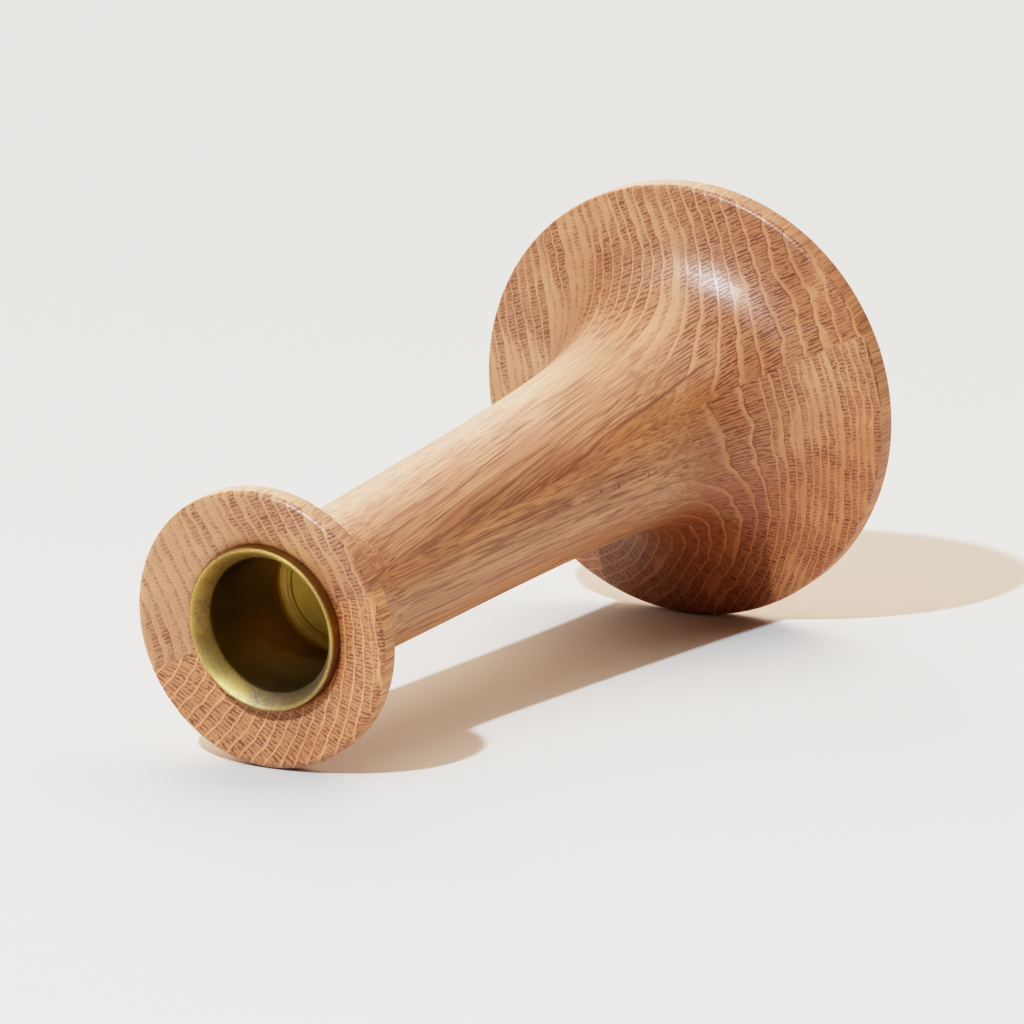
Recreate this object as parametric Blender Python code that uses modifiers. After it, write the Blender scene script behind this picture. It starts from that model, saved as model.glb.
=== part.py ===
"""Turned oak candlestick with a brass candle cup.

The body is turned from two oak boards glued face to face on the plane x = 0, and a brass cup
sits in a stepped socket in its top. The origin is the centre of the base's underside, +Z runs
up the axis, and all lengths are in metres.
"""

import math

import bmesh
import bpy
from mathutils import Vector

MM = 0.001
GAP = 0.3 * MM  # left between pieces that touch on the real object

# Body
HEIGHT = 147.0 * MM
BASE_RADIUS = 40.5 * MM
BASE_EDGE_HEIGHT = 5.4 * MM  # the plain band around the foot
BASE_EDGE_ROUND = 1.0 * MM
STEM_FOOT_RADIUS = 13.85 * MM  # where the stem starts to flare into the base
STEM_FOOT_Z = 88.5 * MM
STEM_NECK_RADIUS = 12.85 * MM  # where the stem starts to flare into the collar
STEM_NECK_Z = 117.0 * MM
COLLAR_RADIUS = 23.0 * MM
COLLAR_THICKNESS = 4.3 * MM
COLLAR_ROUND_TOP = 1.0 * MM
COLLAR_ROUND_UNDER = 0.8 * MM

# Dished top of the collar, which catches wax
DISH_DEPTH = 2.5 * MM
DISH_MOUTH_RADIUS = 13.9 * MM
DISH_MOUTH_CHAMFER_WIDTH = 0.3 * MM
DISH_MOUTH_CHAMFER_DEPTH = 0.2 * MM

# Candle cup
CUP_PROUD = 2.0 * MM  # lip above the bottom of the dish
CUP_LIP_RADIUS = 13.6 * MM
CUP_LIP_BAND = 4.2 * MM  # height of the thick lip
CUP_LIP_ROUND = 0.4 * MM
CUP_THROAT_RADIUS = 11.25 * MM  # candle bore at its top
CUP_BELL_DEPTH = 2.9 * MM
CUP_FLOOR_RADIUS = 10.5 * MM
CUP_DEPTH = 22.3 * MM  # from the lip down to the floor
CUP_WALL = 0.6 * MM
CUP_FLOOR_THICKNESS = 1.2 * MM
CUP_SEAT_RADIUS = 9.3 * MM  # flat seat inside the raised ring on the floor
CUP_SEAT_DROP = 0.4 * MM
CUP_SHOULDER_SLOPE = 0.5 * MM  # drop of the underside of the lip towards the bore

STEPS = 64  # sides of every turned shape
CURVE_POINTS = 12  # segments along a long profile curve
FLARE_POINTS = 20  # segments along the stem and the flare of the base
SHORT_POINTS = 6  # segments along a short profile curve
ROUND_POINTS = 3  # segments of a rounded corner
MERGE = 0.00001

CUP_TOP = HEIGHT - DISH_DEPTH + CUP_PROUD
CUP_FLOOR_Z = CUP_TOP - CUP_DEPTH
CUP_UNDER_Z = CUP_FLOOR_Z - CUP_SEAT_DROP - CUP_FLOOR_THICKNESS
CUP_SHOULDER_Z = CUP_TOP - CUP_LIP_BAND - CUP_SHOULDER_SLOPE


def bezier(start, handle_a, handle_b, end, count):
    """Points of a cubic curve in the (radius, height) plane, both ends included."""
    points = []
    for step in range(count + 1):
        t = step / count
        s = 1.0 - t
        weights = (s**3, 3 * s * s * t, 3 * s * t * t, t**3)
        corners = (start, handle_a, handle_b, end)
        points.append(tuple(sum(w * c[axis] for w, c in zip(weights, corners)) for axis in (0, 1)))
    return points


def corner(centre, radius, start_deg, end_deg):
    """Points of a rounded corner, from one angle to the other."""
    points = []
    for step in range(ROUND_POINTS + 1):
        angle = math.radians(start_deg + (end_deg - start_deg) * step / ROUND_POINTS)
        points.append((centre[0] + radius * math.cos(angle), centre[1] + radius * math.sin(angle)))
    return points


def socket_profile():
    """The stepped hole for the cup, from its floor on the axis up to the mouth."""
    floor_z = CUP_UNDER_Z - GAP
    shoulder_z = CUP_SHOULDER_Z - GAP
    return [
        (0.0, floor_z),
        (CUP_FLOOR_RADIUS + CUP_WALL + GAP, floor_z),
        (CUP_THROAT_RADIUS + CUP_WALL + GAP, shoulder_z),
        (DISH_MOUTH_RADIUS, shoulder_z),
        (DISH_MOUTH_RADIUS, HEIGHT - DISH_DEPTH - DISH_MOUTH_CHAMFER_DEPTH),
    ]


def dish_profile():
    """The drip dish, from the edge of the socket out to the rim of the collar."""
    inner = (DISH_MOUTH_RADIUS + DISH_MOUTH_CHAMFER_WIDTH, HEIGHT - DISH_DEPTH)
    rim = (COLLAR_RADIUS - COLLAR_ROUND_TOP, HEIGHT)
    handle_a = (inner[0] + 2.8 * MM, inner[1] + 0.6 * MM)
    handle_b = (rim[0] - 2.0 * MM, rim[1] - 0.8 * MM)
    return bezier(inner, handle_a, handle_b, rim, SHORT_POINTS)


def collar_edge_profile():
    """The band around the collar, with both its corners rounded."""
    under_z = HEIGHT - COLLAR_THICKNESS
    top = (COLLAR_RADIUS - COLLAR_ROUND_TOP, HEIGHT - COLLAR_ROUND_TOP)
    under = (COLLAR_RADIUS - COLLAR_ROUND_UNDER, under_z + COLLAR_ROUND_UNDER)
    points = corner(top, COLLAR_ROUND_TOP, 90, 0)[1:]
    points += corner(under, COLLAR_ROUND_UNDER, 0, -90)
    return points


def stem_profile():
    """The underside of the collar, the tapered stem and the trumpet flare of the base."""
    taper = (STEM_FOOT_RADIUS - STEM_NECK_RADIUS) / (STEM_NECK_Z - STEM_FOOT_Z)
    collar_under = (COLLAR_RADIUS - 1.4 * MM, HEIGHT - COLLAR_THICKNESS - 0.1 * MM)
    neck = (STEM_NECK_RADIUS, STEM_NECK_Z)
    foot = (STEM_FOOT_RADIUS, STEM_FOOT_Z)
    flange = (BASE_RADIUS - 0.8 * MM, BASE_EDGE_HEIGHT)
    neck_reach = 16.0 * MM
    foot_reach = 76.4 * MM
    neck_handle = (neck[0] - taper * neck_reach, neck[1] + neck_reach)
    foot_handle = (foot[0] + taper * foot_reach, foot[1] - foot_reach)
    under_handle = (15.0 * MM, HEIGHT - COLLAR_THICKNESS - 0.5 * MM)
    flange_handle = (18.8 * MM, 9.3 * MM)
    points = bezier(collar_under, under_handle, neck_handle, neck, CURVE_POINTS)
    points += bezier(foot, foot_handle, flange_handle, flange, FLARE_POINTS)
    return points


def base_edge_profile():
    """The band around the foot and the flat underside, in to the axis."""
    top = (BASE_RADIUS - BASE_EDGE_ROUND, BASE_EDGE_HEIGHT - BASE_EDGE_ROUND)
    under = (BASE_RADIUS - BASE_EDGE_ROUND, BASE_EDGE_ROUND)
    points = corner(top, BASE_EDGE_ROUND, 60, 0)
    points += corner(under, BASE_EDGE_ROUND, 0, -90)
    points.append((0.0, 0.0))
    return points


def body_profile():
    """The whole turned body, from the socket floor over the collar and down to the underside."""
    points = socket_profile()
    points += dish_profile()
    points += collar_edge_profile()
    points += stem_profile()
    points += base_edge_profile()
    return points


def cup_profile():
    """The cup, from the middle of its floor up the bore, over the lip and back underneath."""
    crest = (CUP_LIP_RADIUS - CUP_LIP_ROUND, CUP_TOP)
    throat = (CUP_THROAT_RADIUS, CUP_TOP - CUP_BELL_DEPTH)
    seat_z = CUP_FLOOR_Z - CUP_SEAT_DROP
    lip_foot_z = CUP_TOP - CUP_LIP_BAND
    points = [
        (0.0, seat_z),
        (CUP_SEAT_RADIUS - CUP_SEAT_DROP, seat_z),
        (CUP_SEAT_RADIUS, CUP_FLOOR_Z),
        (CUP_FLOOR_RADIUS, CUP_FLOOR_Z),
    ]
    handle_a = (throat[0] + 0.1 * MM, throat[1] + 1.6 * MM)
    handle_b = (crest[0] - 0.9 * MM, crest[1] - 0.3 * MM)
    points += bezier(throat, handle_a, handle_b, crest, SHORT_POINTS)
    points += corner((crest[0], CUP_TOP - CUP_LIP_ROUND), CUP_LIP_ROUND, 90, 0)[1:]
    points += [
        (CUP_LIP_RADIUS, lip_foot_z),
        (CUP_THROAT_RADIUS + CUP_WALL, CUP_SHOULDER_Z),
        (CUP_FLOOR_RADIUS + CUP_WALL, CUP_UNDER_Z),
        (0.0, CUP_UNDER_Z),
    ]
    return points


def new_collection(name):
    collection = bpy.data.collections.new(name)
    bpy.context.scene.collection.children.link(collection)
    return collection


def new_material(name, color, roughness, metallic=0.0):
    material = bpy.data.materials.new(name)
    material.use_nodes = True
    shader = material.node_tree.nodes["Principled BSDF"]
    shader.inputs["Base Color"].default_value = (*color, 1.0)
    shader.inputs["Roughness"].default_value = roughness
    shader.inputs["Metallic"].default_value = metallic
    return material


def turned(name, profile, material, collection):
    """An object that turns a profile all the way round the Z axis."""
    mesh = bpy.data.meshes.new(name)
    edges = [(index, index + 1) for index in range(len(profile) - 1)]
    mesh.from_pydata([(radius, 0.0, z) for radius, z in profile], edges, [])
    mesh.materials.append(material)
    piece = bpy.data.objects.new(name, mesh)
    collection.objects.link(piece)
    screw = piece.modifiers.new("Turn", "SCREW")
    screw.axis = "Z"
    screw.angle = math.tau
    screw.steps = STEPS
    screw.render_steps = STEPS
    screw.use_merge_vertices = True
    screw.merge_threshold = MERGE
    screw.use_smooth_shade = True
    return piece


def side_cutter(name, side, collection):
    """A block that removes everything on one side of the glue plane, and half the gap."""
    reach = 2.0 * BASE_RADIUS
    bm = bmesh.new()
    bmesh.ops.create_cube(bm, size=1.0)
    bmesh.ops.scale(bm, vec=Vector((reach, 2.0 * reach, 2.0 * HEIGHT)), verts=bm.verts)
    shift = side * (reach / 2.0 - GAP / 2.0)
    bmesh.ops.translate(bm, vec=Vector((shift, 0.0, HEIGHT / 2.0)), verts=bm.verts)
    mesh = bpy.data.meshes.new(name)
    bm.to_mesh(mesh)
    bm.free()
    cutter = bpy.data.objects.new(name, mesh)
    cutter.hide_render = True
    cutter.display_type = "WIRE"
    collection.objects.link(cutter)
    return cutter


def oak_board(name, side, material, parts, cutters):
    """One glued board: the half of the turned body on the side x * side > 0."""
    board = turned(name, body_profile(), material, parts)
    cut = board.modifiers.new("Glue face", "BOOLEAN")
    cut.operation = "DIFFERENCE"
    cut.solver = "EXACT"
    cut.object = side_cutter(name + "_cutter", -side, cutters)
    return board


def build():
    for item in list(bpy.data.objects):
        bpy.data.objects.remove(item, do_unlink=True)
    parts = new_collection("candlestick")
    cutters = new_collection("cutters")
    oak_left = new_material("oak_left", (0.55, 0.33, 0.19), 0.45)
    oak_right = new_material("oak_right", (0.58, 0.35, 0.21), 0.45)
    brass = new_material("aged_brass", (0.38, 0.29, 0.10), 0.4, metallic=1.0)
    oak_board("oak_board_left", -1, oak_left, parts, cutters)
    oak_board("oak_board_right", 1, oak_right, parts, cutters)
    turned("candle_cup", cup_profile(), brass, parts)


build()
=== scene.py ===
"""Looks of the turned oak candlestick with its brass candle cup.

The object stands upright in its own frame, but the picture shows it lying on its side, so the
pale floor is a tilted plane that touches the rim of the foot and the rim of the collar.
"""

import math

import bmesh
import bpy
from mathutils import Matrix, Vector
from mathutils.geometry import delaunay_2d_cdt


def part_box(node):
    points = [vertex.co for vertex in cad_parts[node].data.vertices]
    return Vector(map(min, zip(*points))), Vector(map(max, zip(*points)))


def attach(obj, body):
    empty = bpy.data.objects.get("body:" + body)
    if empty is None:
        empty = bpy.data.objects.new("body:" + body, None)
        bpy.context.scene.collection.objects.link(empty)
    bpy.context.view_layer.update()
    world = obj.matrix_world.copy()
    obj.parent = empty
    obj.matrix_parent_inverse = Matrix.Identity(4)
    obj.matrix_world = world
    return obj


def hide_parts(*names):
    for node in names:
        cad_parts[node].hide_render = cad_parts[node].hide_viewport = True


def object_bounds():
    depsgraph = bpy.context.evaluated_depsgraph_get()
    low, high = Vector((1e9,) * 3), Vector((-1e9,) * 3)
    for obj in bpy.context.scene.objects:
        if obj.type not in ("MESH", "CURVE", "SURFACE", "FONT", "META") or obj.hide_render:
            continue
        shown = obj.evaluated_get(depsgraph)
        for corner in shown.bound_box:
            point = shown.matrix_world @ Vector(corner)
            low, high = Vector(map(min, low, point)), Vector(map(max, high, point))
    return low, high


MM = 0.001

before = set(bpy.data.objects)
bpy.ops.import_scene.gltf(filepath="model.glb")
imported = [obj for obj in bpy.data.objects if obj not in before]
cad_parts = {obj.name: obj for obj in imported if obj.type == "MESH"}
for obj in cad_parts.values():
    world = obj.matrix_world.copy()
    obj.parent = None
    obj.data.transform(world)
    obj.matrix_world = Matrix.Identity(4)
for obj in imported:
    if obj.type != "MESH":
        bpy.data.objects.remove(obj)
CAD_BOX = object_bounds()

# Body of the candlestick
HEIGHT = CAD_BOX[1].z
BASE_RADIUS = CAD_BOX[1].x
BASE_EDGE_HEIGHT = 5.4 * MM
BASE_EDGE_ROUND = 1.0 * MM
STEM_FOOT_RADIUS = 13.85 * MM
STEM_FOOT_Z = 88.5 * MM
STEM_NECK_RADIUS = 12.85 * MM
STEM_NECK_Z = 117.0 * MM
COLLAR_RADIUS = 23.0 * MM
COLLAR_THICKNESS = 4.3 * MM
COLLAR_ROUND_TOP = 1.0 * MM
COLLAR_ROUND_UNDER = 0.8 * MM
DISH_DEPTH = 2.5 * MM
DISH_MOUTH_RADIUS = 13.63 * MM
SOCKET_GAP = 0.3 * MM
SEAM = 0.008 * MM  # half of the hairline gap between the boards

# Candle cup
CUP_LOW, CUP_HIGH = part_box("candle_cup")
CUP_TOP = CUP_HIGH.z
CUP_UNDER_Z = CUP_LOW.z
CUP_LIP_RADIUS = CUP_HIGH.x
CUP_LIP_BAND = 4.2 * MM
CUP_LIP_ROUND = 0.5 * MM
CUP_THROAT_RADIUS = 11.25 * MM
CUP_BELL_DEPTH = 2.9 * MM
CUP_FLOOR_RADIUS = 10.5 * MM
CUP_DEPTH = 22.3 * MM
CUP_WALL = 0.6 * MM
CUP_RING_RADIUS = 9.3 * MM
CUP_RING_DROP = 0.4 * MM
CUP_RIDGE = 0.12 * MM  # of the fine ridge on the cup's floor, inside the ring

# Brass
BRASS = (0.62, 0.44, 0.17, 1)
BRASS_BRIGHT = (0.82, 0.63, 0.29, 1)
FILM_BROWN = (0.44, 0.305, 0.14, 1)
FILM_GRAY = (0.36, 0.29, 0.205, 1)
# Painted shade and a painted reflection of the wood, on the outside of the cup's lip
PAINTED_LIP_SHADE = (0.30, 0.17, 0.05, 1)
BORE_BROWN = (0.40, 0.32, 0.16, 1)
FLOOR_GOLD = (0.86, 0.66, 0.20, 1)
DENT = (4.6, 2.2)  # x and y of a dark dent in the floor of the cup, in millimetres
FILM_PATCH = (0.40, 0.40)  # features for each millimetre, across and along the axis
FILM_SPECK = (3.2, 3.2)
FILM_HUE = (0.24, 0.24)
BRASS_BUMP = 0.03 * MM

# Figure of the oak, in millimetres
LEFT_PITH = (8.8, 30.0)  # centre of the left board's rings
LEFT_CHANGE = 53.0  # distance from the pith where the rings get finer
LEFT_PITCH = (2.1, 1.35)
RIGHT_CHANGE = -24.0  # where the rings get finer, across the board
RIGHT_PITCH = (3.3, 2.3)
TICK_PITCH = 0.64  # along a ring
LEAN_LEVEL = 70.0  # height at which the fibres stand where the rings are drawn
RIGHT_LEAN = 0.095  # sideways drift of the fibres for each unit of height
LEFT_LEAN = -0.04

# Noise in the oak: features for each millimetre across the fibres, and along them
SWAY = (0.06, 0.008)
SWAY_DEPTH = 1.5  # in rings
RIPPLE = (0.42, 0.02)
RIPPLE_DEPTH = 0.42
TICK_SLIP = 1.5  # in ticks
TICK_SLANT = 0.6
BROAD = (0.10, 0.01)
WEAR = (0.33, 0.02)
SPECKLE = (3.6, 0.10)
COARSE_FIBRE = (0.60, 0.008)
MIDDLE_FIBRE = (1.7, 0.014)
FINE_FIBRE = (4.2, 0.026)
DASH = (2.5, 0.050)
VEIN = (0.9, 0.018)
VEIN_GATE = (0.35, 0.045)
LINE_WIDTH = 0.105  # of a light ring line, as a share of its ring
PORE_ANGLE = -126.5  # degrees, where the row of pores would meet z = 0, and its turn with height
PORE_SLOPE = 0.25
PORE_DEGREE = 0.26  # millimetres along the stem's surface in one degree

# Colours of the oak
OAK_SHADES = {
    "ground_a": (0.590, 0.298, 0.158, 1),
    "ground_b": (0.655, 0.352, 0.195, 1),
    "haze": (0.475, 0.208, 0.102, 1),
    "tick": (0.235, 0.074, 0.032, 1),
    "line": (0.725, 0.425, 0.255, 1),
    "streak": (0.285, 0.108, 0.045, 1),
    "pore": (0.180, 0.072, 0.028, 1),
}
RIGHT_SIDE = (0.585, 0.318, 0.172, 1)  # of the fibres on the right board's stem
LEFT_SIDE = (0.715, 0.410, 0.210, 1)
OAK_SPECULAR = 0.80
OAK_COAT = 0.50
OAK_COAT_ROUGHNESS = 0.48
OAK_BUMP = 0.035 * MM

# Painted shade on the collar's face around the cup, darkest next to its lip: distances from the
# axis where it is full and gone
CUP_SHADE_FULL = 14.6
CUP_SHADE_CLEAR = 17.4
PAINTED_CUP_SHADE = (0.66, 0.56, 0.46, 1)

# Broad tints over the wood, mostly its own colour, some painted light and shade as marked: axis
# (0 is x, 1 is y), where on it the tint starts and where it is full, lowest and highest z, and the
# tint
TINT_FADE = 8.0  # height over which a tint fades out past its ends
RIGHT_TINTS_AND_PAINTED_LIGHT = (
    (1, -8.0, -34.0, -20.0, 14.0, (0.96, 0.87, 0.78, 1)),
    (0, 5.0, 2.5, 26.0, 54.0, (0.98, 0.90, 0.72, 1)),
    (0, 7.0, 1.0, 66.0, 105.0, (0.87, 0.81, 0.76, 1)),
    (0, 2.0, 14.0, 144.0, 160.0, (1.08, 1.13, 1.18, 1)),
    # Painted highlight tone: the stem's lit top made a little darker and cooler, to tone its
    # highlight
    (0, 4.0, 12.0, 66.0, 130.0, (0.97, 0.95, 1.02, 1)),
    (0, 18.0, 5.0, -20.0, 14.0, (1.10, 1.13, 1.14, 1)),
)
LEFT_TINTS_AND_PAINTED_LIGHT = (
    # Partly the wood's own colour, partly painted shade: darker and more orange towards the floor
    (0, -2.0, -24.0, -20.0, 30.0, (0.93, 0.77, 0.60, 1)),
    # Painted shade: the foot's lower side darkened where the stem shades it
    (1, 6.0, 19.0, -20.0, 30.0, (0.78, 0.80, 0.84, 1)),
    (0, -24.0, -8.0, -20.0, 20.0, (1.07, 1.05, 1.02, 1)),
    # Painted bounce light: the stem's side that faces the floor made lighter and warmer
    (0, -7.0, -13.5, 50.0, 134.0, (1.12, 1.05, 0.95, 1)),
    (0, -9.0, 0.0, 26.0, 134.0, (0.97, 0.92, 0.85, 1)),
    (0, 1.0, -1.0, 144.0, 160.0, (1.19, 1.14, 1.04, 1)),
)

# Long dark streaks on the stem: angle and height of the top end, then of the foot end, width
# and strength
RIGHT_STREAKS = (
    (-90.0, 75.0, -80.0, 56.0, 0.60, 0.85),
    (-80.0, 58.0, -71.0, 22.0, 0.62, 0.95),
    (-84.0, 106.0, -69.0, 67.0, 0.55, 0.80),
    (-66.0, 112.0, -58.5, 89.0, 0.40, 0.55),
    (-88.0, 118.0, -80.0, 92.0, 0.50, 0.55),
    (-79.0, 66.0, -72.0, 40.0, 0.35, 0.40),
    (-42.0, 126.0, -39.0, 110.0, 0.40, 0.45),
)
LEFT_STREAKS = (
    (-104.0, 118.0, -106.0, 105.0, 0.40, 0.70),
    (-98.5, 106.0, -101.0, 94.0, 0.40, 0.65),
    (-97.0, 71.0, -99.0, 60.0, 0.40, 0.70),
    (-120.0, 94.0, -122.0, 85.0, 0.40, 0.65),
    (-129.0, 86.0, -133.0, 71.0, 0.40, 0.60),
    (-133.0, 74.0, -136.5, 57.0, 0.45, 0.70),
    (-126.0, 58.0, -130.0, 31.0, 0.35, 0.60),
    (-106.0, 62.0, -108.0, 48.0, 0.35, 0.60),
    (-143.0, 124.0, -143.0, 111.0, 0.45, 0.60),
)

# The object lying on its side
CONTACT_ANGLE = math.radians(157.8)  # the side of the foot that is on the floor, about Z
FOOT_CONTACT_Z = 4.9 * MM
COLLAR_CONTACT_Z = 146.5 * MM

# Camera, relative to the floor
CAMERA_AIM = Vector((-2.74, -0.37, 69.2)) * MM
CAMERA_DISTANCE = 820.8 * MM
CAMERA_TURN = math.radians(30.11)
CAMERA_RISE = math.radians(10.28)
CAMERA_LENS = 168.69

# Lights: turn from the object's axis, rise above the floor (degrees), and strength
KEY_POWER = 18.2
KEY_COLOR = (0.64, 0.80, 0.95)
KEY_TURN = 0.5
KEY_RISE = 43.1
KEY_DISTANCE = 1.135
KEY_TARGET = Vector((0.0, 0.0, 70.0)) * MM
KEY_SIZE = 0.020
SOFT_COLOR = (1.0, 0.85, 0.735)
SOFT_ANGLE = 40.0
SOFT_LAMPS = (
    (225.0, 22.0, 0.80),
    (130.0, 52.0, 0.33),
    (190.0, 52.0, 0.47),
    (250.0, 52.0, 0.13),
    (310.0, 52.0, 0.23),
    (0.0, 88.0, 0.29),
)
WORLD_COLOR = (1.0, 0.985, 0.95, 1)
WORLD_STRENGTH = 0.02
WORLD_SHOWN = 0.50  # how bright the empty background looks, past the edge of the floor

# Paper floor: its sizes are in metres
PAPER = (0.795, 0.78, 0.74, 1)
PAPER_NEAR = 1.2
PAPER_FAR = 1.8
PAPER_HALF_WIDTH = 1.8
SWEEP_START = 0.17
SWEEP_RADIUS = 2.1
SWEEP_STEPS = 60

# Tone curve: the lit paper's brightness in the scene and in the picture, and the curve's shape
PAPER_LIGHT = 0.50
PAPER_SHOWN = 0.81
TONE_POWER = 1.6
TONE_SHOULDER = 2.62
TONE_POINTS = 12
SPARKLE_FROM = 1.25  # brightness, in lit papers, past which highlights still gain
SPARKLE = 0.16

TURNS = 288  # sides of a full turn
LONG_CURVE = 48
ROUND_CORNER = 8


def bezier(start, handle_a, handle_b, end, count):
    """Points of a cubic curve in the (radius, height) plane, both ends included."""
    points = []
    for step in range(count + 1):
        t = step / count
        s = 1.0 - t
        weights = (s**3, 3 * s * s * t, 3 * s * t * t, t**3)
        corners = (start, handle_a, handle_b, end)
        points.append(tuple(sum(w * c[axis] for w, c in zip(weights, corners)) for axis in (0, 1)))
    return points


def corner(centre, radius, start_deg, end_deg):
    """Points of a rounded corner, from one angle to the other."""
    points = []
    for step in range(ROUND_CORNER + 1):
        angle = math.radians(start_deg + (end_deg - start_deg) * step / ROUND_CORNER)
        across, up = radius * math.cos(angle), radius * math.sin(angle)
        points.append((centre[0] + across, centre[1] + up))
    return points


def socket_profile():
    """The stepped hole that the cup sits in, from the axis up to the mouth."""
    shoulder_z = CUP_TOP - CUP_LIP_BAND - 0.8 * MM
    return [
        (0.0, CUP_UNDER_Z - SOCKET_GAP),
        (CUP_FLOOR_RADIUS + CUP_WALL + SOCKET_GAP, CUP_UNDER_Z - SOCKET_GAP),
        (CUP_THROAT_RADIUS + CUP_WALL + SOCKET_GAP, shoulder_z),
        (DISH_MOUTH_RADIUS, shoulder_z),
        (DISH_MOUTH_RADIUS, HEIGHT - DISH_DEPTH - 0.2 * MM),
    ]


def dish_profile():
    """The drip dish, from the edge of the socket out to the rim of the collar."""
    inner = (DISH_MOUTH_RADIUS + 0.3 * MM, HEIGHT - DISH_DEPTH)
    rim = (COLLAR_RADIUS - COLLAR_ROUND_TOP, HEIGHT)
    handle_a = (inner[0] + 2.8 * MM, inner[1] + 0.6 * MM)
    handle_b = (rim[0] - 2.0 * MM, rim[1] - 0.8 * MM)
    return bezier(inner, handle_a, handle_b, rim, 24)


def collar_edge_profile():
    """The band around the collar, with both its corners rounded."""
    under_z = HEIGHT - COLLAR_THICKNESS
    top = (COLLAR_RADIUS - COLLAR_ROUND_TOP, HEIGHT - COLLAR_ROUND_TOP)
    under = (COLLAR_RADIUS - COLLAR_ROUND_UNDER, under_z + COLLAR_ROUND_UNDER)
    points = corner(top, COLLAR_ROUND_TOP, 90, 0)[1:]
    points += corner(under, COLLAR_ROUND_UNDER, 0, -90)
    return points


def stem_profile():
    """The underside of the collar, the tapered stem and the trumpet flare of the base."""
    taper = (STEM_FOOT_RADIUS - STEM_NECK_RADIUS) / (STEM_NECK_Z - STEM_FOOT_Z)
    collar_under = (COLLAR_RADIUS - 1.4 * MM, HEIGHT - COLLAR_THICKNESS - 0.1 * MM)
    neck = (STEM_NECK_RADIUS, STEM_NECK_Z)
    foot = (STEM_FOOT_RADIUS, STEM_FOOT_Z)
    flange = (BASE_RADIUS - 0.8 * MM, BASE_EDGE_HEIGHT)
    neck_reach = 16.0 * MM
    foot_reach = 76.4 * MM
    neck_handle = (neck[0] - taper * neck_reach, neck[1] + neck_reach)
    foot_handle = (foot[0] + taper * foot_reach, foot[1] - foot_reach)
    under_handle = (15.0 * MM, HEIGHT - COLLAR_THICKNESS - 0.5 * MM)
    flange_handle = (18.8 * MM, 9.3 * MM)
    points = bezier(collar_under, under_handle, neck_handle, neck, LONG_CURVE)
    between = 12
    for step in range(1, between):
        share = step / between
        points.append(tuple(a + (b - a) * share for a, b in zip(neck, foot)))
    points += bezier(foot, foot_handle, flange_handle, flange, LONG_CURVE + 16)
    return points


def base_edge_profile():
    """The band around the foot and the flat underside, in to the axis."""
    top = (BASE_RADIUS - BASE_EDGE_ROUND, BASE_EDGE_HEIGHT - BASE_EDGE_ROUND)
    under = (BASE_RADIUS - BASE_EDGE_ROUND, BASE_EDGE_ROUND)
    points = corner(top, BASE_EDGE_ROUND, 60, 0)
    points += corner(under, BASE_EDGE_ROUND, 0, -90)
    points.append((0.0, 0.0))
    return points


def body_profile():
    """The whole turned body, from the socket floor over the collar and down to the underside."""
    points = socket_profile()
    points += dish_profile()
    points += collar_edge_profile()
    points += stem_profile()
    points += base_edge_profile()
    return points


def cup_profile():
    """The cup, from the middle of its floor up the bore, over the lip and back underneath."""
    crest = (CUP_LIP_RADIUS - CUP_LIP_ROUND, CUP_TOP)
    throat = (CUP_THROAT_RADIUS, CUP_TOP - CUP_BELL_DEPTH)
    floor_z = CUP_TOP - CUP_DEPTH
    seat_z = floor_z - CUP_RING_DROP
    ring = CUP_RING_RADIUS
    points = [
        (0.0, seat_z),
        (ring * 0.85, seat_z),
        (ring * 0.865, seat_z + CUP_RIDGE),
        (ring * 0.90, seat_z + CUP_RIDGE),
        (ring * 0.915, seat_z),
        (ring - CUP_RING_DROP, seat_z),
        (ring - 0.1 * MM, floor_z - 0.1 * MM),
        (ring, floor_z),
        (CUP_FLOOR_RADIUS - 0.3 * MM, floor_z),
        (CUP_FLOOR_RADIUS - 0.08 * MM, floor_z + 0.08 * MM),
        (CUP_FLOOR_RADIUS, floor_z + 0.3 * MM),
    ]
    handle_a = (throat[0] + 0.35 * MM, throat[1] + 1.0 * MM)
    handle_b = (crest[0] - 0.8 * MM, crest[1] - 0.6 * MM)
    points += bezier(throat, handle_a, handle_b, crest, 20)
    points += corner((crest[0], CUP_TOP - CUP_LIP_ROUND), CUP_LIP_ROUND, 90, 0)[1:]
    points += [
        (CUP_LIP_RADIUS, CUP_TOP - CUP_LIP_BAND),
        (CUP_THROAT_RADIUS + CUP_WALL, CUP_TOP - CUP_LIP_BAND - 0.5 * MM),
        (CUP_FLOOR_RADIUS + CUP_WALL, CUP_UNDER_Z),
        (0.0, CUP_UNDER_Z),
    ]
    return points


def new_object(name, mesh):
    """An object in the scene for a mesh."""
    piece = bpy.data.objects.new(name, mesh)
    bpy.context.scene.collection.objects.link(piece)
    return piece


def finish_mesh(name, bm, sharp_deg):
    """Turns a bmesh into an object with smooth shading that breaks at the sharp edges."""
    bmesh.ops.recalc_face_normals(bm, faces=bm.faces)
    limit = math.radians(sharp_deg)
    for face in bm.faces:
        face.smooth = True
    for edge in bm.edges:
        edge.smooth = edge.is_manifold and edge.calc_face_angle(0.0) < limit
    mesh = bpy.data.meshes.new(name)
    bm.to_mesh(mesh)
    bm.free()
    return new_object(name, mesh)


def join_columns(bm, first, second):
    """Faces between two neighbouring profiles, which share their points on the axis."""
    for low in range(len(first) - 1):
        corners = [first[low], second[low], second[low + 1], first[low + 1]]
        unique = list(dict.fromkeys(corners))
        if len(unique) > 2:
            bm.faces.new(unique)


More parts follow.
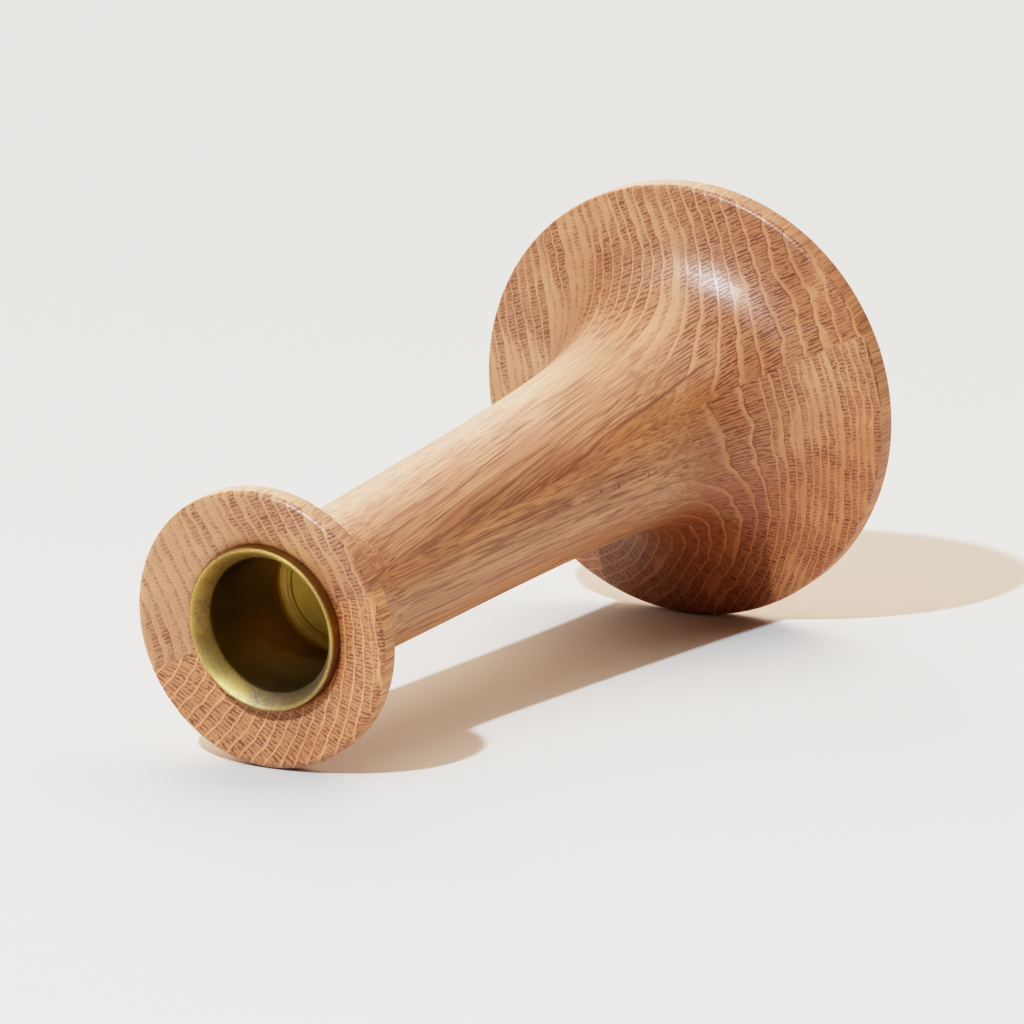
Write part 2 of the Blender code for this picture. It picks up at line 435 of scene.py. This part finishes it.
def half_turned(name, profile, side):
    """Half of a turned body, on the side x * side > 0, closed by a flat face on the glue plane."""
    bm = bmesh.new()
    columns = TURNS // 2
    rings = []
    axis_verts = {}
    for column in range(columns + 1):
        angle = math.pi * column / columns - math.pi / 2.0
        ring = []
        for index, (radius, z) in enumerate(profile):
            if radius == 0.0:
                if index not in axis_verts:
                    axis_verts[index] = bm.verts.new((side * SEAM, 0.0, z))
                ring.append(axis_verts[index])
                continue
            x = max(radius * math.cos(angle), SEAM)
            ring.append(bm.verts.new((side * x, radius * math.sin(angle), z)))
        rings.append(ring)
    for first, second in zip(rings, rings[1:]):
        join_columns(bm, first, second)
    outline = list(dict.fromkeys(rings[0] + rings[-1][::-1]))
    flat = [Vector((vert.co.y, vert.co.z)) / MM for vert in outline]
    _, _, triangles, sources, _, _ = delaunay_2d_cdt(flat, [], [range(len(flat))], 1, 1e-6)
    for triangle in triangles:
        bm.faces.new([outline[sources[index][0]] for index in triangle])
    return finish_mesh(name, bm, sharp_deg=40.0)


def turned(name, profile):
    """A closed body turned all the way round, from a profile that starts and ends on the axis."""
    bm = bmesh.new()
    axis_verts = {}
    rings = []
    for column in range(TURNS):
        angle = math.tau * column / TURNS
        ring = []
        for index, (radius, z) in enumerate(profile):
            if radius == 0.0:
                if index not in axis_verts:
                    axis_verts[index] = bm.verts.new((0.0, 0.0, z))
                ring.append(axis_verts[index])
                continue
            ring.append(bm.verts.new((radius * math.cos(angle), radius * math.sin(angle), z)))
        rings.append(ring)
    for first, second in zip(rings, rings[1:] + rings[:1]):
        join_columns(bm, first, second)
    return finish_mesh(name, bm, sharp_deg=50.0)


class Graph:
    """A material's node tree, with short calls for the nodes that the patterns use."""

    def __init__(self, name):
        self.material = bpy.data.materials.new(name)
        self.material.use_nodes = True
        self.tree = self.material.node_tree
        self.shader = self.tree.nodes["Principled BSDF"]

    def node(self, kind, **settings):
        node = self.tree.nodes.new(kind)
        for key, value in settings.items():
            setattr(node, key, value)
        return node

    def feed(self, socket, value):
        """Links a socket to another, or sets its plain value."""
        if isinstance(value, bpy.types.NodeSocket):
            self.tree.links.new(value, socket)
        else:
            socket.default_value = value

    def math(self, operation, *values):
        node = self.node("ShaderNodeMath", operation=operation)
        for socket, value in zip(node.inputs, values):
            self.feed(socket, value)
        return node.outputs[0]

    def add(self, *values):
        total = values[0]
        for value in values[1:]:
            total = self.math("ADD", total, value)
        return total

    def times(self, *values):
        total = values[0]
        for value in values[1:]:
            total = self.math("MULTIPLY", total, value)
        return total

    def place(self):
        """x, y and z of the shaded point, in millimetres."""
        source = self.node("ShaderNodeTexCoord").outputs["Object"]
        split = self.node("ShaderNodeSeparateXYZ")
        self.feed(split.inputs[0], source)
        return [self.times(axis, 1.0 / MM) for axis in split.outputs]

    def vector(self, x, y, z):
        node = self.node("ShaderNodeCombineXYZ")
        for socket, value in zip(node.inputs, (x, y, z)):
            self.feed(socket, value)
        return node.outputs[0]

    def noise(self, x, y, z, detail=2.0, roughness=0.5):
        """Soft noise from 0 to 1, with features about one unit across."""
        node = self.node("ShaderNodeTexNoise")
        self.feed(node.inputs["Vector"], self.vector(x, y, z))
        node.inputs["Scale"].default_value = 1.0
        node.inputs["Detail"].default_value = detail
        node.inputs["Roughness"].default_value = roughness
        return node.outputs["Fac"]

    def figure(self, place, scales, detail=2.0, roughness=0.5):
        """Noise with the given features for each millimetre across the axis and along it."""
        x, y, z = place
        across, along = scales
        parts = (self.times(x, across), self.times(y, across), self.times(z, along))
        return self.noise(*parts, detail, roughness)

    def length(self, a, b):
        return self.math("SQRT", self.add(self.times(a, a), self.times(b, b)))

    def random(self, x, y, z):
        """A random value from 0 to 1 that is constant where x, y and z are."""
        node = self.node("ShaderNodeTexWhiteNoise", noise_dimensions="3D")
        self.feed(node.inputs["Vector"], self.vector(x, y, z))
        return node.outputs["Value"]

    def ramp(self, value, low, high, out_low=0.0, out_high=1.0):
        """A smooth step from out_low at low to out_high at high."""
        node = self.node("ShaderNodeMapRange", interpolation_type="SMOOTHSTEP")
        for name, part in (
            ("Value", value),
            ("From Min", low),
            ("From Max", high),
            ("To Min", out_low),
            ("To Max", out_high),
        ):
            self.feed(node.inputs[name], part)
        return node.outputs["Result"]

    def mix(self, factor, first, second, blend="MIX"):
        """A mix of two colours."""
        node = self.node("ShaderNodeMix", data_type="RGBA", blend_type=blend)
        self.feed(node.inputs["Factor"], factor)
        colours = [s for s in node.inputs if s.type == "RGBA"]
        for socket, value in zip(colours, (first, second)):
            self.feed(socket, value)
        return next(s for s in node.outputs if s.type == "RGBA")

    def gray(self, value):
        """A number as a grey colour."""
        node = self.node("ShaderNodeCombineColor")
        for socket in node.inputs:
            self.feed(socket, value)
        return node.outputs[0]

    def bump(self, height, distance, strength=1.0):
        """Bump from a height in units of distance, which is in metres."""
        node = self.node("ShaderNodeBump")
        node.inputs["Strength"].default_value = strength
        node.inputs["Distance"].default_value = distance
        self.feed(node.inputs["Height"], height)
        self.tree.links.new(node.outputs["Normal"], self.shader.inputs["Normal"])


def paced(g, distance, near_pitch, far_pitch):
    """Steps counted from zero, near_pitch apart before it and far_pitch apart after it."""
    before = g.times(g.math("MINIMUM", distance, 0.0), near_pitch)
    after = g.times(g.math("MAXIMUM", distance, 0.0), far_pitch)
    return g.add(before, after)


def right_rings(g, x, y):
    """Ring number in the right board: nearly flat rings, which lie wider apart near the rim."""
    tilt = g.times(x, g.math("MAXIMUM", g.add(y, 10.0), 0.0), 0.0060)
    return paced(g, g.add(y, tilt, -RIGHT_CHANGE), 1.0 / RIGHT_PITCH[0], 1.0 / RIGHT_PITCH[1])


def right_along(g, x, y, ring):
    """Millimetres along a ring, which is nearly the x axis."""
    return x


def left_rings(g, x, y):
    """Ring number in the left board: arcs about a pith, which get finer away from it."""
    distance = g.length(g.add(x, -LEFT_PITH[0]), g.add(y, -LEFT_PITH[1]))
    return paced(g, g.add(distance, -LEFT_CHANGE), 1.0 / LEFT_PITCH[0], 1.0 / LEFT_PITCH[1])


def left_along(g, x, y, ring):
    """Millimetres along the middle of a ring, so that its ticks stay radial."""
    angle = g.math("ARCTAN2", g.add(y, -LEFT_PITH[1]), g.add(x, -LEFT_PITH[0]))
    distance = g.add(paced(g, g.add(ring, 0.5), *LEFT_PITCH), LEFT_CHANGE)
    return g.times(angle, distance)


def ring_place(g, wood, place):
    """Ring number and its fraction, swayed broadly and rippled a little, and the ripple noise."""
    x, y, _ = place
    sway = g.figure(place, SWAY)
    ripple = g.figure(place, RIPPLE)
    phase = g.add(wood["rings"](g, x, y), g.times(g.add(sway, -0.5), SWAY_DEPTH))
    phase = g.add(phase, g.times(g.add(ripple, -0.5), RIPPLE_DEPTH))
    return phase, ripple


def ladder_zone(g, wood, place, luck):
    """1 where the rings are coarse ladders, and 0 where they are only rows of dots."""
    x, y, z = place
    zone = g.noise(g.times(x, 0.075), g.times(y, 0.13), g.times(z, 0.01), 2.0)
    zone = g.add(zone, g.times(g.add(luck, -0.5), 0.22), wood["coarse"](g, x, y))
    return g.ramp(zone, 0.38, 0.62)


def ring_ticks(g, along, phase, ring, luck, z):
    """Ticks across a ring, as a broken-up wave along it, and the noise that breaks it."""
    slip = g.noise(g.times(along, 0.75), g.times(ring, 3.71), g.times(z, 0.02), 1.0)
    slant = g.noise(g.times(along, 0.9), g.times(phase, 1.9), g.times(z, 0.02), 1.0)
    turns = g.add(
        g.times(along, 1.0 / TICK_PITCH),
        g.times(slip, TICK_SLIP),
        g.times(slant, TICK_SLANT),
        g.times(luck, 6.0),
    )
    wave = g.math("SINE", g.times(turns, math.tau))
    ragged = g.noise(g.times(along, 2.1), g.times(phase, 2.4), g.times(z, 0.05), 2.0, 0.6)
    tick = g.ramp(g.add(g.times(wave, 0.42), g.times(g.add(ragged, -0.5), 3.0)), -0.12, 0.40)
    return tick, ragged


def end_grain(g, wood, place):
    """Colour of the rings as they show where the fibres are cut across, and their relief.

    A ring starts at a light line with a thin dark crack after it. Its dark, porous band comes
    next, crossed by ticks, and reaches further over the ring where the figure is coarse.
    """
    x, y, z = place
    phase, ripple = ring_place(g, wood, place)
    ring = g.math("FLOOR", phase)
    share = g.math("FRACT", phase)
    along = wood["along"](g, x, y, ring)
    luck = g.random(ring, 2.0, 7.0)
    zone = ladder_zone(g, wood, place, luck)

    reach_noise = g.noise(g.times(along, 1.1), g.times(ring, 5.17), g.times(z, 0.02), 1.0)
    reach = g.add(0.22, g.times(zone, 0.54), g.times(reach_noise, 0.28))
    rise = g.ramp(share, 0.07, 0.15)
    fall = g.ramp(share, g.add(reach, -0.08), g.add(reach, 0.12), 1.0, 0.0)
    band = g.times(rise, fall)
    tick, ragged = ring_ticks(g, along, phase, ring, luck, z)
    tick = g.times(tick, band)

    edge = g.math("MINIMUM", share, g.math("SUBTRACT", 1.0, share))
    line = g.ramp(edge, 0.0, LINE_WIDTH, 1.0, 0.0)
    after_line = g.ramp(share, 0.12, 0.20, 1.0, 0.0)
    crack = g.times(rise, after_line, g.ramp(ripple, 0.36, 0.52), zone)

    broad = g.figure(place, BROAD, 3.0)
    worn = g.figure(place, WEAR)
    speckle = g.figure(place, SPECKLE, 2.0, 0.6)
    haze_depth = g.add(0.18, g.times(zone, 0.42))
    tick_depth = g.times(g.add(0.48, g.times(zone, 0.40)), g.ramp(worn, 0.36, 0.58, 0.55, 1.0))
    line_depth = g.ramp(ragged, 0.30, 0.62, 0.06, 0.28)
    colour = g.mix(g.ramp(broad, 0.35, 0.65), wood["ground_a"], wood["ground_b"])
    colour = g.mix(g.times(band, haze_depth), colour, wood["haze"])
    colour = g.mix(g.times(tick, tick_depth), colour, wood["tick"])
    colour = g.mix(g.times(crack, 0.80), colour, wood["tick"])
    colour = g.mix(g.times(line, line_depth), colour, wood["line"])
    colour = g.mix(g.ramp(speckle, 0.60, 0.74, 0.0, 0.42), colour, wood["tick"])
    shade = g.gray(g.ramp(speckle, 0.25, 0.60, 1.07, 0.97))
    colour = g.mix(1.0, colour, shade, "MULTIPLY")
    relief = g.add(g.times(tick, -0.7), g.times(line, 0.35), g.times(speckle, 0.35))
    return colour, relief, band, line


def side_grain(g, wood, place, band, line):
    """Colour of the long fibres on the stem and the rims, with darker streaks, and their relief."""
    coarse = g.figure(place, COARSE_FIBRE, 3.0, 0.55)
    middle = g.figure(place, MIDDLE_FIBRE, 2.0, 0.6)
    fine = g.figure(place, FINE_FIBRE, 1.0)
    dash = g.ramp(g.figure(place, DASH, 1.0), 0.61, 0.69)
    vein = g.figure(place, VEIN, 1.0)
    vein = g.ramp(g.math("ABSOLUTE", g.add(vein, -0.5)), 0.015, 0.055, 1.0, 0.0)
    vein = g.times(vein, g.ramp(g.figure(place, VEIN_GATE), 0.49, 0.56))

    colour = g.mix(g.ramp(coarse, 0.36, 0.62, 0.50, 0.0), wood["side"], wood["haze"])
    colour = g.mix(g.times(band, 0.16), colour, wood["haze"])
    colour = g.mix(g.times(line, 0.16), colour, wood["line"])
    colour = g.mix(g.ramp(middle, 0.40, 0.50, 0.46, 0.0), colour, wood["haze"])
    colour = g.mix(g.ramp(middle, 0.54, 0.66, 0.0, 0.22), colour, wood["line"])
    colour = g.mix(g.ramp(fine, 0.40, 0.48, 0.50, 0.0), colour, wood["streak"])
    colour = g.mix(g.ramp(fine, 0.53, 0.64, 0.0, 0.30), colour, wood["line"])
    colour = g.mix(g.times(vein, 0.55), colour, wood["streak"])
    colour = g.mix(g.times(dash, 0.72), colour, wood["streak"])
    relief = g.add(
        g.times(fine, 0.8), g.times(middle, 0.5), g.times(dash, -0.8), g.times(vein, -0.6)
    )
    return colour, relief


def turn_angle(g, x, y):
    """Angle about the axis, in degrees."""
    return g.times(g.math("ARCTAN2", y, x), 180.0 / math.pi)


def stem_streak(g, x, y, z, streak):
    """How strongly one long streak on the stem shows, from its ends' angles and heights."""
    top_angle, top_z, foot_angle, foot_z, width, strength = streak
    slope = (foot_angle - top_angle) / (foot_z - top_z)
    middle = g.add(g.times(z, slope), top_angle - top_z * slope)
    off_middle = g.add(turn_angle(g, x, y), g.times(middle, -1.0))
    aside = g.times(off_middle, g.length(x, y), math.pi / 180.0)
    waver = g.noise(g.times(z, 0.14), top_z, 0.0, 2.0)
    aside = g.math("ABSOLUTE", g.add(aside, g.times(g.add(waver, -0.5), 0.8)))
    foot_end = g.ramp(z, foot_z - 1.0, foot_z + 2.5)
    top_end = g.ramp(z, top_z - 9.0, top_z + 1.0, 1.0, 0.0)
    broken = g.noise(g.times(z, 0.30), g.times(aside, 2.0), foot_z, 2.0)
    body = g.ramp(aside, width * 0.15, width * 0.75, 1.0, 0.0)
    return g.times(body, foot_end, top_end, g.ramp(broken, 0.20, 0.44), strength)


def pore_row(g, x, y, z):
    """A loose row of open pores down the front of the left board's stem."""
    middle = g.add(g.times(z, PORE_SLOPE), PORE_ANGLE)
    off_middle = g.add(turn_angle(g, x, y), g.times(middle, -1.0))
    aside = g.times(g.math("ABSOLUTE", off_middle), PORE_DEGREE)
    near = g.times(
        g.ramp(aside, 0.15, 0.85, 1.0, 0.0),
        g.ramp(z, 30.0, 40.0),
        g.ramp(z, 68.0, 92.0, 1.0, 0.0),
    )
    spot = g.noise(g.times(x, 2.6), g.times(y, 2.6), g.times(z, 1.7), 1.0)
    return g.times(g.ramp(spot, 0.56, 0.66), near)


def tinted(g, colour, x, y, z, tint):
    """The colour with one broad tint over it, from a row of the tint tables; some rows are painted
    light or shade.
    """
    axis, clear, full, low_z, high_z, shade = tint
    near = g.times(
        g.ramp((x, y)[axis], clear, full),
        g.ramp(z, low_z - TINT_FADE, low_z),
        g.ramp(z, high_z, high_z + TINT_FADE, 1.0, 0.0),
    )
    return g.mix(near, colour, shade, "MULTIPLY")


def oak_material(name, wood):
    """Oiled oak as a solid: rings across the board, and fibres that lean a little from Z."""
    g = Graph(name)
    x, y, z = g.place()
    place = (g.add(x, g.times(g.add(z, -LEAN_LEVEL), wood["lean"])), y, z)
    split = g.node("ShaderNodeSeparateXYZ")
    g.feed(split.inputs[0], g.node("ShaderNodeTexCoord").outputs["Normal"])
    cut = g.ramp(g.math("ABSOLUTE", split.outputs[2]), 0.06, 0.26)

    end_colour, end_relief, band, line = end_grain(g, wood, place)
    side_colour, side_relief = side_grain(g, wood, place, band, line)
    colour = g.mix(cut, side_colour, end_colour)
    for tint in wood["tints_and_painted_light"]:
        colour = tinted(g, colour, x, y, z, tint)
    # Painted shade: a dark ring on the collar's face around the cup
    cup_shade = g.ramp(g.length(x, y), CUP_SHADE_FULL, CUP_SHADE_CLEAR, 0.85, 0.0)
    cup_shade = g.times(cup_shade, g.ramp(z, 145.0, 146.0))
    colour = g.mix(cup_shade, colour, PAINTED_CUP_SHADE, "MULTIPLY")
    for streak in wood["streaks"]:
        colour = g.mix(stem_streak(g, x, y, z, streak), colour, wood["streak"])
    if wood["pores"]:
        pores = pore_row(g, x, y, z)
        colour = g.mix(g.times(pores, 0.85), colour, wood["pore"])
        side_relief = g.add(side_relief, g.times(pores, -1.2))
    g.feed(g.shader.inputs["Base Color"], colour)

    side_share = g.math("SUBTRACT", 1.0, cut)
    relief = g.add(g.times(end_relief, cut), g.times(side_relief, side_share))
    rough = g.add(0.40, g.times(side_share, 0.14), g.times(relief, -0.04))
    g.feed(g.shader.inputs["Roughness"], rough)
    g.shader.inputs["Specular IOR Level"].default_value = OAK_SPECULAR
    g.shader.inputs["Coat Weight"].default_value = OAK_COAT
    g.shader.inputs["Coat Roughness"].default_value = OAK_COAT_ROUGHNESS
    g.bump(relief, OAK_BUMP)
    return g.material


def filmed_brass(g, place, patch, speck):
    """Colour of brass under its mottled film, and the film: gray on one side, worn on another."""
    x, y, _ = place
    hue = g.figure(place, FILM_HUE, 3.0)
    film = g.ramp(g.add(g.times(patch, 0.55), g.times(speck, 0.45)), 0.36, 0.66)
    gray_side = g.ramp(x, -5.0, -11.0)
    film = g.add(film, g.times(gray_side, 0.45))
    dull = g.mix(g.add(g.ramp(hue, 0.46, 0.66), gray_side), FILM_BROWN, FILM_GRAY)
    colour = g.mix(film, BRASS, dull)
    worn = g.times(g.ramp(y, 6.5, 10.5), g.ramp(x, 3.0, -1.5), g.ramp(x, -10.5, -6.5))
    colour = g.mix(g.times(worn, g.ramp(speck, 0.30, 0.56), 0.75), colour, BRASS_BRIGHT)
    return colour, film


def brass_material(name):
    """Old brass with a mottled brown and gray film, bright metal where it is rubbed, and painted
    shade on the lip's outside.
    """
    g = Graph(name)
    place = g.place()
    x, y, z = place
    top = CUP_TOP / MM
    floor_z = (CUP_TOP - CUP_DEPTH) / MM
    lip_radius = CUP_LIP_RADIUS / MM
    radius = g.length(x, y)
    patch = g.figure(place, FILM_PATCH, 5.0, 0.62)
    speck = g.figure(place, FILM_SPECK, 3.0, 0.7)
    colour, film = filmed_brass(g, place, patch, speck)

    # The bore below the bell is darker and even, and the floor is rubbed bright at its ring
    in_bore = g.times(
        g.ramp(z, top - 3.6, top - 2.8, 1.0, 0.0),
        g.ramp(z, floor_z + 0.5, floor_z + 1.2),
        g.ramp(radius, lip_radius - 0.9, lip_radius - 0.5, 1.0, 0.0),
    )
    on_floor = g.ramp(z, floor_z + 0.4, floor_z + 0.7, 1.0, 0.0)
    ring = g.math("ABSOLUTE", g.add(radius, -CUP_RING_RADIUS / MM - 0.25))
    rubbed = g.times(on_floor, g.ramp(ring, 0.10, 0.40, 1.0, 0.0))
    colour = g.mix(g.times(in_bore, 0.88), colour, BORE_BROWN)
    colour = g.mix(g.times(on_floor, 0.70), colour, FLOOR_GOLD)
    colour = g.mix(rubbed, colour, BRASS_BRIGHT)

    # The lip's outside is painted dark brown as painted shade and a painted reflection of the wood,
    # and its crest is rubbed
    past_crest = g.add(radius, CUP_LIP_ROUND / MM - lip_radius)
    outside = g.times(g.ramp(past_crest, 0.15, 0.60), g.ramp(z, top - 2.5, top - 2.0))
    colour = g.mix(g.times(outside, 0.75), colour, PAINTED_LIP_SHADE)
    crest = g.ramp(g.math("ABSOLUTE", past_crest), 0.10, 0.55, 1.0, 0.0)
    crest = g.times(crest, g.ramp(z, top - 0.8, top - 0.3), g.ramp(speck, 0.38, 0.62), 0.7)
    colour = g.mix(crest, colour, BRASS_BRIGHT)
    g.feed(g.shader.inputs["Base Color"], colour)
    g.shader.inputs["Metallic"].default_value = 1.0
    rough = g.add(0.48, g.times(film, 0.10), g.times(speck, 0.08), g.times(in_bore, -0.20))
    g.feed(g.shader.inputs["Roughness"], rough)

    # Relief: specks and patches outside the bore, turning lines and a dent on the floor
    turning = g.math("SINE", g.times(g.add(radius, g.times(speck, 0.12)), 13.0))
    dent = g.length(g.add(x, -DENT[0]), g.add(y, -DENT[1]))
    dent = g.times(g.ramp(dent, 0.15, 0.75, 1.0, 0.0), on_floor)
    outside_bore = g.math("SUBTRACT", 1.0, in_bore)
    height = g.add(
        g.times(speck, outside_bore, 0.9),
        g.times(patch, 0.9),
        g.times(turning, on_floor, 0.6),
        g.times(dent, -3.0),
    )
    g.bump(height, BRASS_BUMP)
    return g.material


def right_coarse(g, x, y):
    """Coarser towards the rim on the near side."""
    return g.ramp(y, -34.0, 12.0, 0.16, -0.03)


def left_coarse(g, x, y):
    """Coarser near the stem and on the far side."""
    near_stem = g.ramp(g.length(x, y), 19.0, 26.0, 0.20, 0.0)
    far_side = g.ramp(g.add(y, g.times(x, -0.45)), -26.0, 4.0, 0.02, 0.13)
    return g.add(near_stem, far_side)


def build_boards():
    """The two halves of the turned body, each with its own oak."""
    profile = body_profile()
    right = dict(
        OAK_SHADES,
        side=RIGHT_SIDE,
        rings=right_rings,
        along=right_along,
        coarse=right_coarse,
        lean=RIGHT_LEAN,
        tints_and_painted_light=RIGHT_TINTS_AND_PAINTED_LIGHT,
        streaks=RIGHT_STREAKS,
        pores=False,
    )
    left = dict(
        OAK_SHADES,
        side=LEFT_SIDE,
        rings=left_rings,
        along=left_along,
        coarse=left_coarse,
        lean=LEFT_LEAN,
        tints_and_painted_light=LEFT_TINTS_AND_PAINTED_LIGHT,
        streaks=LEFT_STREAKS,
        pores=True,
    )
    boards = (
        ("oak_right", 1, "oak_board_right", "oak_right", right),
        ("oak_left", -1, "oak_board_left", "oak_left", left),
    )
    for name, side, node, slot, wood in boards:
        board = half_turned(name, profile, side)
        board.data.materials.append(oak_material(name, wood))
        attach(board, "root")
        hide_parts(node)


def build_cup():
    """The brass cup."""
    cup = turned("brass_cup", cup_profile())
    cup.data.materials.append(brass_material("aged_brass"))
    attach(cup, "root")
    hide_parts("candle_cup")


def lying_frame():
    """Unit vectors of the floor that the object lies on, and one point of it.

    axis_dir runs along the floor from the foot to the collar, side_dir across, and up is the
    floor's normal, on the object's side.
    """
    outward = Vector((math.cos(CONTACT_ANGLE), math.sin(CONTACT_ANGLE), 0.0))
    upright = Vector((0.0, 0.0, 1.0))
    lean = math.atan2(BASE_RADIUS - COLLAR_RADIUS, COLLAR_CONTACT_Z - FOOT_CONTACT_Z)
    up = -(outward * math.cos(lean) + upright * math.sin(lean))
    axis_dir = upright * math.cos(lean) - outward * math.sin(lean)
    side_dir = up.cross(axis_dir)
    touch = outward * BASE_RADIUS + upright * FOOT_CONTACT_Z
    return axis_dir, side_dir, up, touch


def direction(floor, turn_deg, rise_deg):
    """A unit vector that points turn degrees round from the object's axis and rise degrees up."""
    axis_dir, side_dir, up, _ = floor
    turn, rise = math.radians(turn_deg), math.radians(rise_deg)
    level = axis_dir * math.cos(turn) + side_dir * math.sin(turn)
    return level * math.cos(rise) + up * math.sin(rise)


def paper_material():
    """Matt pale paper that can be seen through from its back."""
    g = Graph("paper")
    g.shader.inputs["Base Color"].default_value = PAPER
    g.shader.inputs["Roughness"].default_value = 0.9
    g.shader.inputs["Specular IOR Level"].default_value = 0.1
    one_sided = g.node("ShaderNodeMixShader")
    clear = g.node("ShaderNodeBsdfTransparent")
    back = g.node("ShaderNodeNewGeometry").outputs["Backfacing"]
    g.feed(one_sided.inputs[0], back)
    g.tree.links.new(g.shader.outputs[0], one_sided.inputs[1])
    g.tree.links.new(clear.outputs[0], one_sided.inputs[2])
    output = g.tree.nodes["Material Output"]
    g.tree.links.new(one_sided.outputs[0], output.inputs["Surface"])
    return g.material


def build_floor(floor):
    """A pale paper floor that starts to sweep up a little way behind the object."""
    axis_dir, side_dir, up, touch = floor
    toward = axis_dir * math.cos(CAMERA_TURN) + side_dir * math.sin(CAMERA_TURN)
    across = up.cross(toward)
    length = PAPER_FAR - SWEEP_START
    rows = [-PAPER_NEAR]
    rows += [SWEEP_START + length * step / SWEEP_STEPS for step in range(SWEEP_STEPS + 1)]
    bm = bmesh.new()
    lines = []
    for away in rows:
        rise = max(away - SWEEP_START, 0.0) ** 2 / (2.0 * SWEEP_RADIUS)
        middle = touch - toward * away + up * rise
        ends = [middle + across * (side * PAPER_HALF_WIDTH) for side in (-1.0, 1.0)]
        lines.append([bm.verts.new(end) for end in ends])
    for first, second in zip(lines, lines[1:]):
        face = bm.faces.new((first[0], first[1], second[1], second[0]))
        face.smooth = True
    bm.normal_update()
    bm.faces.ensure_lookup_table()
    if bm.faces[0].normal.dot(up) < 0.0:
        bmesh.ops.reverse_faces(bm, faces=bm.faces)
    mesh = bpy.data.meshes.new("floor")
    bm.to_mesh(mesh)
    bm.free()
    mesh.materials.append(paper_material())
    new_object("floor", mesh)


def build_key(floor):
    """One small hard lamp above the collar, as bright far from it as near."""
    key = bpy.data.lights.new("key", "POINT")
    key.energy = KEY_POWER
    key.color = KEY_COLOR
    key.shadow_soft_size = KEY_SIZE
    key.use_nodes = True
    tree = key.node_tree
    emission = next(node for node in tree.nodes if node.type == "EMISSION")
    falloff = tree.nodes.new("ShaderNodeLightFalloff")
    falloff.inputs["Strength"].default_value = 1.0
    tree.links.new(falloff.outputs["Constant"], emission.inputs["Strength"])
    lamp = bpy.data.objects.new("key", key)
    lamp.location = KEY_TARGET + direction(floor, KEY_TURN, KEY_RISE) * KEY_DISTANCE
    bpy.context.scene.collection.objects.link(lamp)


def build_soft_lamps(floor):
    """Soft warm lamps around the object."""
    for index, (turn_deg, rise_deg, power) in enumerate(SOFT_LAMPS):
        soft = bpy.data.lights.new(f"soft_{index}", "SUN")
        soft.energy = power
        soft.color = SOFT_COLOR
        soft.angle = math.radians(SOFT_ANGLE)
        lamp = bpy.data.objects.new(f"soft_{index}", soft)
        lamp.rotation_mode = "QUATERNION"
        aim = direction(floor, turn_deg, rise_deg)
        lamp.rotation_quaternion = aim.to_track_quat("Z", "Y")
        bpy.context.scene.collection.objects.link(lamp)


def build_world():
    """A world that hardly lights the object, but looks pale past the edge of the floor."""
    world = bpy.data.worlds.new("studio")
    world.use_nodes = True
    nodes = world.node_tree.nodes
    background = nodes["Background"]
    background.inputs["Color"].default_value = WORLD_COLOR
    path = nodes.new("ShaderNodeLightPath")
    strength = nodes.new("ShaderNodeMapRange")
    strength.inputs["To Min"].default_value = WORLD_STRENGTH
    strength.inputs["To Max"].default_value = WORLD_SHOWN
    world.node_tree.links.new(path.outputs["Is Camera Ray"], strength.inputs["Value"])
    world.node_tree.links.new(strength.outputs["Result"], background.inputs["Strength"])
    bpy.context.scene.world = world


def response(light):
    """Display brightness for a scene brightness: deep shadows and a soft shoulder."""
    share = light / PAPER_LIGHT
    shown = (1.0 - math.exp(-TONE_SHOULDER * share**TONE_POWER)) / (1.0 - math.exp(-TONE_SHOULDER))
    sparkle = max(share - SPARKLE_FROM, 0.0) * SPARKLE
    return PAPER_SHOWN * shown + sparkle


def set_tones():
    """A camera-like tone curve over the plain view transform."""
    view = bpy.context.scene.view_settings
    view.view_transform = "Standard"
    view.use_curve_mapping = True
    curve = view.curve_mapping.curves[3]
    curve.points[-1].location = (1.0, response(1.0))
    for step in range(1, TONE_POINTS):
        light = (step / TONE_POINTS) ** 2
        curve.points.new(light, response(light))
    view.curve_mapping.update()


def build_camera(floor):
    """The camera, turned and raised against the floor."""
    axis_dir, side_dir, up, _ = floor
    level = axis_dir * math.cos(CAMERA_TURN) + side_dir * math.sin(CAMERA_TURN)
    back = level * math.cos(CAMERA_RISE) + up * math.sin(CAMERA_RISE)
    right = up.cross(back).normalized()
    true_up = back.cross(right)
    camera = bpy.data.cameras.new("camera")
    camera.lens = CAMERA_LENS
    camera.clip_start = 0.01
    camera.clip_end = 20.0
    holder = bpy.data.objects.new("camera", camera)
    turn = Matrix((right, true_up, back)).transposed()
    holder.matrix_world = Matrix.Translation(CAMERA_AIM + back * CAMERA_DISTANCE) @ turn.to_4x4()
    bpy.context.scene.collection.objects.link(holder)
    bpy.context.scene.camera = holder


build_boards()
build_cup()
floor = lying_frame()
build_floor(floor)
build_key(floor)
build_soft_lamps(floor)
build_world()
build_camera(floor)
set_tones()
